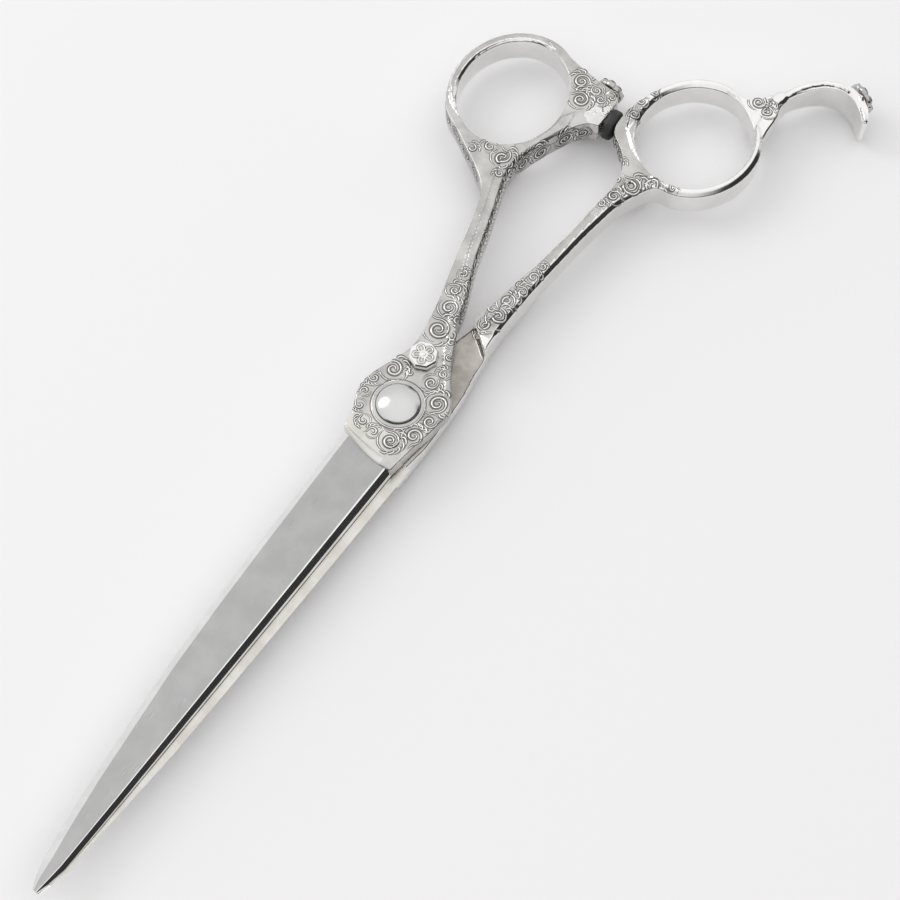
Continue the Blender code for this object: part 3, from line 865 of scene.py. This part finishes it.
plate_lines = carved(
    thumb_top,
    (
        (-4.3, 4.9, 1.7, 3.2, -1, 1.5, 6),
        (-1.6, 5.9, 0.7, 2.2, 1, 1.0, 3),
        (-6.0, 1.9, 0.9, 3.6, 1, 1.0, 4),
        (-5.9, -0.9, 0.8, 4.1, -1, 0.9, 4),
        (-5.1, -3.4, 0.8, 3.2, 1, 0.9, 4),
        (-3.0, -5.4, 0.9, 2.6, 1, 0.9, 4),
        (-0.6, -6.2, 0.9, 3.4, -1, 1.0, 4),
        (2.6, -6.0, 1.6, 2.2, -1, 1.7, 7),
        (5.3, -3.3, 1.5, -1.0, 1, 1.5, 7),
        (6.0, 0.2, 1.2, 0.4, -1, 1.4, 5),
        (5.2, 3.6, 1.7, -1.2, 1, 1.6, 7),
        (2.2, 6.2, 1.2, 0.8, -1, 1.4, 5),
        (3.0, 8.6, 0.9, 1.2, 1, 1.3, 4),
        (2.0, 11.6, 0.8, 1.6, -1, 1.2, 3),
        (0.9, 14.0, 0.9, -0.2, 1, 1.2, 3),
        (-2.4, 15.0, 2.0, 2.2, -1, 1.7, 6),
        (-0.6, 18.0, 0.9, 0.4, 1, 1.3, 3),
        (-3.2, 19.4, 1.5, -0.6, 1, 1.5, 5),
        (-4.3, 22.7, 1.2, 2.6, -1, 1.4, 5),
        (-3.0, 24.8, 0.8, -0.4, 1, 1.2, 3),
        (-4.8, 25.9, 0.8, 2.4, -1, 1.2, 3),
    ),
)
RING_LINE_R = 4.3  # a plain line round the pivot screw
ring_line = []
for degrees in range(0, 361, 6):
    angle = math.radians(degrees)
    ring_line.append((RING_LINE_R * math.cos(angle), RING_LINE_R * math.sin(angle), 0.13))
plate_lines += laid(thumb_top, [ring_line])
carve("plate_scrolls", plate_lines, "thumb_half")

thumb_crown_lines = carved(
    thumb_top,
    (
        (-12.2, 48.8, 1.6, 1.8, -1, 1.7, 5),
        (-15.2, 49.6, 1.1, 1.0, 1, 1.3, 4),
        (-10.6, 45.6, 0.9, 1.8, 1, 1.2, 3),
        (-17.6, 47.6, 0.9, 2.4, -1, 1.2, 4),
        (-7.6, 66.3, 1.6, 2.8, -1, 1.7, 6),
        (-9.4, 69.6, 1.5, 0.4, 1, 1.6, 5),
        (-6.2, 69.4, 1.1, 2.2, 1, 1.4, 5),
        (-10.9, 73.0, 1.0, 0.4, -1, 1.4, 4),
        (-4.6, 68.2, 0.9, 1.0, -1, 1.3, 4),
        (-8.4, 72.4, 0.8, 1.2, 1, 1.2, 4),
        (-3.2, 69.6, 0.7, 2.2, -1, 1.1, 3),
        (-12.2, 75.6, 0.7, 0.8, 1, 1.1, 3),
    ),
)
carve("thumb_crown_scrolls", thumb_crown_lines, "thumb_half")

finger_lines = carved(
    finger_top,
    (
        (3.4, 20.0, 1.2, 3.0, 1, 1.3, 5),
        (4.4, 22.4, 1.6, 2.2, -1, 1.6, 6),
        (2.6, 23.4, 0.9, 1.4, 1, 1.2, 4),
        (4.0, 25.8, 1.4, -0.6, 1, 1.5, 5),
        (5.2, 28.4, 1.1, 2.6, -1, 1.4, 5),
        (4.0, 29.6, 0.8, 0.8, 1, 1.2, 3),
        (5.2, 31.8, 1.0, -0.4, 1, 1.3, 4),
        (5.4, 34.2, 0.7, 2.6, -1, 1.1, 3),
        (6.8, 50.2, 0.8, 2.4, -1, 1.2, 4),
        (7.8, 52.6, 1.2, 0.4, 1, 1.4, 4),
        (9.0, 56.0, 2.0, 2.2, -1, 2.0, 7),
        (12.0, 58.4, 1.7, 1.6, -1, 2.0, 6),
        (6.2, 56.4, 0.9, 2.0, 1, 1.3, 4),
        (4.9, 59.2, 0.9, 2.6, -1, 1.3, 4),
        (15.2, 59.6, 0.8, 0.6, 1, 1.2, 3),
        (1.9, 68.6, 1.0, 1.6, -1, 1.5, 4),
        (1.6, 71.6, 0.9, 1.4, 1, 1.3, 4),
        (2.4, 74.4, 0.8, 0.8, -1, 1.3, 3),
        (18.2, 83.2, 1.4, 2.2, -1, 1.6, 5),
        (20.6, 82.2, 1.2, 0.6, 1, 1.5, 4),
        (22.6, 84.2, 0.8, 1.2, -1, 1.2, 3),
    ),
)
carve("finger_scrolls", finger_lines, "finger_half")


# ---------------------------------------------------------------------------------------------
# Carving on the walls
# The side walls of the thumb half carry a chain of larger spirals by the ring and a narrow
# running scroll down the shank, both with oxide and painted shade in the hollows.
# ---------------------------------------------------------------------------------------------
def wall_face(surface, spot, outward):
    """A vertical wall seen from outside: u runs along the wall and v runs up it."""
    outward = Vector(outward).normalized()
    along = Vector((0, 0, 1)).cross(outward)
    return Face(surface, spot, along, (0, 0, 1), -outward)


wall_lines = []
for spot, outward, values in (
    ((-6.4, 63.9, 4.6), (0.75, -0.66, 0), (0, 0, 1.2, 1.8, 1, 1.5, 5)),
    ((-6.6, 59.6, 4.6), (0.93, -0.36, 0), (0, 0, 1.6, 2.6, -1, 1.8, 6)),
    ((-8.2, 54.8, 4.6), (0.93, -0.36, 0), (0, 0, 1.6, 0.6, 1, 1.8, 6)),
    ((-9.8, 51.0, 4.8), (0.93, -0.30, 0), (0, 0, 1.3, 2.4, -1, 1.5, 5)),
):
    wall_lines += laid(wall_face(thumb_surface, spot, outward), motif(*values))
for i in range(14):
    y = 20.5 + 2.15 * i
    hand = 1 if i % 2 else -1
    shank = wall_face(thumb_surface, (-1.6 - 0.235 * (y - 20), y, 5.7), (0.97, 0.24, 0))
    wall_lines += laid(shank, motif(0, 0, 1.05, 1.6 * hand, hand, 1.4, 5, 0.26))
for i in range(5):
    y = 45.0 + 2.6 * i
    hand = 1 if i % 2 else -1
    outer = wall_face(thumb_surface, (-14.6 - 1.05 * (y - 45), y, 5.0), (-0.85, -0.52, 0))
    wall_lines += laid(outer, motif(0, 0, 1.0, 2.2 * hand, hand, 1.4, 4))
carve("thumb_wall_scrolls", wall_lines, "thumb_half", oxide_and_shade)

bridge_lines = []
for i in range(5):
    y = 59.0 + 2.5 * i
    hand = 1 if i % 2 else -1
    bridge = wall_face(finger_surface, (1.6, y, 5.0), (-1.0, -0.1, 0))
    bridge_lines += laid(bridge, motif(0, 0, 1.1, 1.9 * hand, hand, 1.4, 5, 0.24))
carve("bridge_scrolls", bridge_lines, "finger_half", oxide_and_shade)


# ---------------------------------------------------------------------------------------------
# Stippled border
# A chaser's punch leaves rows of tiny beads down the top of each shank, one along each rim and
# a pair along the middle.
# ---------------------------------------------------------------------------------------------
BEAD_R = 0.13
BEAD_STEP = 0.42
BEAD_SINK = 0.45  # share of its radius that a bead sits below the surface
BEAD_INSET = 0.35  # from the rim to the outer rows
BEAD_APART = 0.28  # from the middle of the shank to each inner row
FLOAT_LEAST, FLOAT_MOST, FLOAT_VALUE = 2, 3, 1  # where a Random Value node keeps its float sockets


def bead_tree():
    """Geometry nodes that set a ball of slightly uneven size on each point."""
    inputs = (("Places", "Geometry"), ("Radius", "Float"), ("Material", "Material"), ("Seed", "Int"))
    tree, into, out = geometry_tree("beads", inputs)
    ball = tree.nodes.new("GeometryNodeMeshIcoSphere")
    ball.inputs["Subdivisions"].default_value = 2
    uneven = tree.nodes.new("FunctionNodeRandomValue")
    uneven.data_type = "FLOAT"
    uneven.inputs[FLOAT_LEAST].default_value = 0.8
    uneven.inputs[FLOAT_MOST].default_value = 1.15
    spread = tree.nodes.new("GeometryNodeInstanceOnPoints")
    real = tree.nodes.new("GeometryNodeRealizeInstances")
    smooth = tree.nodes.new("GeometryNodeSetShadeSmooth")
    coat = tree.nodes.new("GeometryNodeSetMaterial")
    link = tree.links.new
    link(ball.inputs["Radius"], into.outputs["Radius"])
    link(uneven.inputs["Seed"], into.outputs["Seed"])
    link(spread.inputs["Points"], into.outputs["Places"])
    link(spread.inputs["Instance"], ball.outputs["Mesh"])
    link(spread.inputs["Scale"], uneven.outputs[FLOAT_VALUE])
    link(real.inputs["Geometry"], spread.outputs["Instances"])
    link(smooth.inputs["Geometry"], real.outputs["Geometry"])
    link(coat.inputs["Geometry"], smooth.outputs["Geometry"])
    link(coat.inputs["Material"], into.outputs["Material"])
    link(out.inputs["Geometry"], coat.outputs["Geometry"])
    return tree


def edges_at(face, y, centre_x):
    """Where the top face under this y begins and ends, walking out from centre_x."""
    sides = []
    for way in (-1, 1):
        x = centre_x
        while abs(x - centre_x) < 6:
            found = face.put(x + way * 0.1, y)
            if found is None or found[1].z < 0.93:
                break
            x += way * 0.1
        sides.append(x)
    return sides


def bead_places(face, first_y, last_y, centre_at):
    """Points for four rows of beads between two places along a shank."""
    places = []
    y = first_y
    while y < last_y:
        left, right = edges_at(face, y, centre_at(y))
        middle = (left + right) / 2
        for x in (left + BEAD_INSET, middle - BEAD_APART, middle + BEAD_APART, right - BEAD_INSET):
            found = face.put(x, y)
            if found is not None and right - left > 1.2:
                places.append(found[0] - found[1] * BEAD_R * BEAD_SINK * MM)
        y += BEAD_STEP
    return places


beads = bead_tree()
thumb_shank_x = blend_steps(((25, -4.4), (48, -10.6)))
finger_shank_x = blend_steps(((30, 5.2), (50, 7.2)))
for bead_name, bead_face, first_y, last_y, centre_at, bead_body in (
    ("thumb_beads", thumb_top, 27.5, 45.5, thumb_shank_x, "thumb_half"),
    ("finger_beads", finger_top, 32.5, 50.5, finger_shank_x, "finger_half"),
):
    bead_mesh = bpy.data.meshes.new(bead_name)
    bead_mesh.from_pydata(bead_places(bead_face, first_y, last_y, centre_at), [], [])
    row = add_object(bead_name, bead_mesh)
    run_tree(row, beads, {"Radius": BEAD_R * MM, "Material": ridge_steel, "Seed": 7})
    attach(row, bead_body)


# ---------------------------------------------------------------------------------------------
# Pivot screw
# A turned and polished screw with a domed head, its rim broken by a small round and its dome
# lightly brushed in circles. It sits on a raised ring, with a painted shadow ring in the joint.
# ---------------------------------------------------------------------------------------------
def turned(name, profile, steps=96):
    """A closed solid of revolution about Z from (radius, z) pairs, low to high."""
    rings = []
    for radius, z in profile:
        ring = []
        for i in range(steps):
            angle = 2 * math.pi * i / steps
            ring.append(Vector((radius * math.cos(angle), radius * math.sin(angle), z)) * MM)
        rings.append(ring)
    return lofted(name, rings)


HEAD_TRIM = 0.28  # how much smaller the dome is than the head's hole, to leave room for its ring
DOME_STEPS = 22
DOME_START = 0.32  # height at which the dome rises from the rim
screw_low, screw_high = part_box("pivot_screw")
head_r = screw_high.x / MM - HEAD_TRIM
head_top = screw_high.z / MM
head_foot = top_z + 0.05
dome = [(head_r - 0.2, head_foot), (head_r - 0.05, head_foot + 0.05), (head_r, head_foot + 0.15)]
dome += [(head_r, head_foot + 0.2), (head_r - 0.05, head_foot + 0.28)]
rise = head_top - head_foot - DOME_START
for i in range(1, DOME_STEPS):
    t = i / DOME_STEPS
    dome.append(((head_r - 0.1) * (1 - t), head_foot + DOME_START + rise * (1 - (1 - t) ** 2.2)))
dome.append((0.02, head_top))
shank = [(1.45, screw_low.z / MM), (1.45, 4.9), (1.9, 5.0), (1.9, head_foot)]
screw = turned("domed_screw", shank + dome)
screw_steel, screw_tree, screw_shader = new_material("screw_steel")
screw_shader.inputs["Metallic"].default_value = 1.0
screw_x, screw_y, _ = split_xyz(screw_tree, shader_node(screw_tree, "ShaderNodeTexCoord", out="Object"))
off_axis_squared = screw_x * screw_x + screw_y * screw_y
off_axis = off_axis_squared.maths("SQRT", off_axis_squared)
turn_marks = off_axis * 42000.0 + noise(screw_tree, (1, 1, 1), 500.0) * 5.0
turn_wave = turn_marks.maths("SINE", turn_marks)
brushed = mixed(screw_tree, turn_wave * 0.5 + 0.5, (0.60, 0.60, 0.60, 1), (0.74, 0.74, 0.735, 1))
connect(screw_tree, screw_shader.inputs["Base Color"], brushed)
connect(screw_tree, screw_shader.inputs["Roughness"], 0.16 + 0.06 * noise(screw_tree, (1, 1, 1), 600.0))
connect(screw_tree, screw_shader.inputs["Normal"], bump(screw_tree, turn_wave * 0.012, 0.0001))
screw.data.materials.append(screw_steel)
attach(screw, "thumb_half")
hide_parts("pivot_screw")
for ring_name, ring_r, ring_z, ring_material in (
    ("screw_seat_ring", head_r + 0.65, top_z + 0.02, carved_steel),
    # painted shadow: a dark ring laid round the screw head in the joint
    ("screw_seat_shadow", head_r + 0.16, top_z + 0.04, oxide_and_shade),
):
    ring_profile = [(ring_r, top_z - 0.4), (ring_r, ring_z - 0.02), (ring_r - 0.05, ring_z)]
    seat = turned(ring_name, ring_profile + [(1.95, ring_z + 0.005)])
    seat.data.materials.append(ring_material)
    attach(seat, "thumb_half")


# ---------------------------------------------------------------------------------------------
# Flower studs
# An eight-sided screw cover on the plate and two round rosettes, on the thumb boss and under
# the finger rest, each cut as petals around a raised eye.
# ---------------------------------------------------------------------------------------------
PETAL_SINK = 0.2
PETAL_SPREAD = 2.2


def petal_ring(count, inner, outer, width, swell):
    """Strokes for one ring of petals: each has an outline and a rib down its middle."""
    strokes = []
    for k in range(count):
        middle = 2 * math.pi * k / count
        half = math.pi / count * swell
        outline = []
        for i in range(13):
            t = i / 12 * 2 - 1
            reach = outer - (outer - inner) * t * t
            angle = middle + half * math.sin(math.pi / 2 * t)
            outline.append((reach * math.cos(angle), reach * math.sin(angle), width))
        strokes.append(outline)
        rib = []
        for i in range(5):
            reach = inner + (outer - inner) * (0.1 + 0.6 * i / 4)
            rib.append((reach * math.cos(middle), reach * math.sin(middle), width * 0.8))
        strokes.append(rib)
    return strokes


def on_disc(strokes, height, place):
    """Strokes on a flat disc at this height, moved by a matrix from the disc's own frame."""
    up = place.to_3x3() @ Vector((0, 0, 1))
    lines = []
    for stroke in strokes:
        lines.append([(place @ (Vector((u, v, height)) * MM), up, radius) for u, v, radius in stroke])
    return lines


def ball(name, place, radius, squash):
    maker = bmesh.new()
    bmesh.ops.create_uvsphere(maker, u_segments=32, v_segments=16, radius=radius * MM)
    bmesh.ops.scale(maker, vec=(1, 1, squash), verts=maker.verts)
    bmesh.ops.transform(maker, matrix=place, verts=maker.verts)
    for face in maker.faces:
        face.smooth = True
    return add_object(name, finished(name, maker))


def frame_at(spot, axis):
    """The matrix that stands a piece made about Z at this spot, along this axis."""
    turn = Vector(axis).normalized().to_track_quat("Z", "Y").to_matrix().to_4x4()
    return Matrix.Translation(Vector(spot) * MM) @ turn


def flower(name, place, height, petals, outer, body, hollow_steel=oxide_and_shade):
    """Petals round a raised eye, cut into the top of a round or eight-sided head."""
    lines = on_disc(petal_ring(petals, outer * 0.34, outer * 0.86, 0.12, 0.82), height, place)
    names = (name + "_petals", name + "_hollows")
    # the petal hollows are oxide and painted shade, flat dark ribbons round each petal
    cut_lines(*names, lines, PETAL_SINK, PETAL_SPREAD, hollow_steel, body, "stud_steel")
    eye = ball(name + "_eye", place @ Matrix.Translation((0, 0, height * MM)), outer * 0.2, 0.45)
    eye.data.materials.append(ridge_steel)
    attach(eye, body)


def rosette(name, node, spot, axis, outer, low, high, body):
    """A scalloped round head with eight lobes, its rim rounded over."""
    place = frame_at(spot, axis)
    steps = 96
    profile = [(0.86, low), (0.97, low + 0.12), (1.0, (low + high) / 2), (0.96, high - 0.15), (0.84, high)]
    rings = []
    for share, z in profile:
        ring = []
        for i in range(steps):
            angle = 2 * math.pi * i / steps
            lobe = outer * share * (0.93 + 0.07 * abs(math.cos(4 * angle)) ** 0.5)
            ring.append(place @ (Vector((lobe * math.cos(angle), lobe * math.sin(angle), z)) * MM))
        rings.append(ring)
    head = lofted(name, rings)
    head.data.materials.append(carved_steel)
    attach(head, body)
    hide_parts(node)
    flower(name, place, high, 8, outer, body)


MIDDLE_Z = 4.7  # half way up the handles
BOSS_END = (-5.0, 71.2, MIDDLE_Z)
BOSS_AXIS = (0.08, 1, 0)
REST_BACK = (31.75, 94.37, MIDDLE_Z)
REST_AXIS = (0.42, 0.91, 0)
rosette("boss_flower", "boss_rosette", BOSS_END, BOSS_AXIS, 2.6, 0.25, 1.45, "thumb_half")
rosette("rest_flower", "rest_rosette", REST_BACK, REST_AXIS, 2.9, 0.3, 1.3, "finger_half")

stud_low, stud_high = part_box("pivot_stud")
stud_middle = (stud_low + stud_high) / 2
stud_place = Matrix.Translation((stud_middle.x, stud_middle.y, 0))
COVER_R = 2.5  # to its corners
COVER_TOP = 8.72
cover_profile = [(COVER_R - 0.25, 7.7), (COVER_R, 7.78), (COVER_R, COVER_TOP - 0.22), (2.28, COVER_TOP)]
octagon = turned("eight_sided_cover", cover_profile, 8)
octagon.data.transform(stud_place)
for face in octagon.data.polygons:
    face.use_smooth = False
octagon.data.materials.append(ridge_steel)
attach(octagon, "thumb_half")
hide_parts("pivot_stud")
# the cover flower's hollows take the painted-shade recess steel
flower("cover_flower", stud_place, COVER_TOP, 5, 2.0, "thumb_half", recess_shade_steel)


# ---------------------------------------------------------------------------------------------
# Rubber stop
# A soft black bumper pressed on a pin in the thumb boss. Its face is slightly domed, and its
# black is greyed in patches where the finger ring rubs it.
# ---------------------------------------------------------------------------------------------
bumper_low, bumper_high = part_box("rubber_bumper")
bumper_thick = (bumper_high.x - bumper_low.x) / MM
bumper_r = (bumper_high.z - bumper_low.z) / 2 / MM
bumper_middle_y = (bumper_low.y + bumper_high.y) / 2 / MM
bumper_place = frame_at((bumper_low.x / MM, bumper_middle_y, MIDDLE_Z), (1, 0, 0))
bumper = turned(
    "rubber_stop",
    [
        (bumper_r - 0.3, 0.0),
        (bumper_r - 0.05, 0.12),
        (bumper_r, 0.4),
        (bumper_r, bumper_thick - 0.5),
        (bumper_r - 0.12, bumper_thick - 0.25),
        (bumper_r - 0.45, bumper_thick - 0.06),
        (bumper_r - 1.0, bumper_thick),
    ],
    64,
)
bumper.data.transform(bumper_place)
rubber, rubber_tree, rubber_shader = new_material("stop_rubber")
grime = noise(rubber_tree, (1, 1, 1), 900.0)
rubbed = mixed(rubber_tree, grime.ramp(0.4, 0.7), (0.022, 0.022, 0.024, 1), (0.055, 0.055, 0.056, 1))
connect(rubber_tree, rubber_shader.inputs["Base Color"], rubbed)
connect(rubber_tree, rubber_shader.inputs["Roughness"], 0.5 + 0.25 * grime)
connect(rubber_tree, rubber_shader.inputs["Normal"], bump(rubber_tree, grime * 0.3, 0.0001))
bumper.data.materials.append(rubber)
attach(bumper, "thumb_half")
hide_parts("rubber_bumper")


# ---------------------------------------------------------------------------------------------
# Washers, bushing, pin and nut
# Small turned parts that show only at the edge of the pivot and underneath: bright washers, a
# cream polymer ride washer and bushing, and a knurled finger nut.
# ---------------------------------------------------------------------------------------------
washer_steel = steel("washer_steel", (0.58, 0.57, 0.55, 1), (0.72, 0.71, 0.70, 1), 0.25, 0.08)
nut_steel = steel("nut_steel", (0.52, 0.515, 0.50, 1), (0.70, 0.695, 0.68, 1), 0.22, 0.12, wave=0.15)
polymer, polymer_tree, polymer_shader = new_material("bearing_polymer")
cloud = noise(polymer_tree, (1, 1, 1), 500.0)
cream = mixed(polymer_tree, cloud, (0.70, 0.66, 0.57, 1), (0.82, 0.79, 0.72, 1))
connect(polymer_tree, polymer_shader.inputs["Base Color"], cream)
connect(polymer_tree, polymer_shader.inputs["Roughness"], 0.4 + 0.2 * cloud)
for node, finish_material in (
    ("head_washer", washer_steel),
    ("key_washer", washer_steel),
    ("spring_washer", washer_steel),
    ("ride_washer", polymer),
    ("pivot_bushing", polymer),
    ("bumper_pin", washer_steel),
    ("tension_nut", nut_steel),
):
    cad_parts[node].data.materials.clear()
    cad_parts[node].data.materials.append(finish_material)
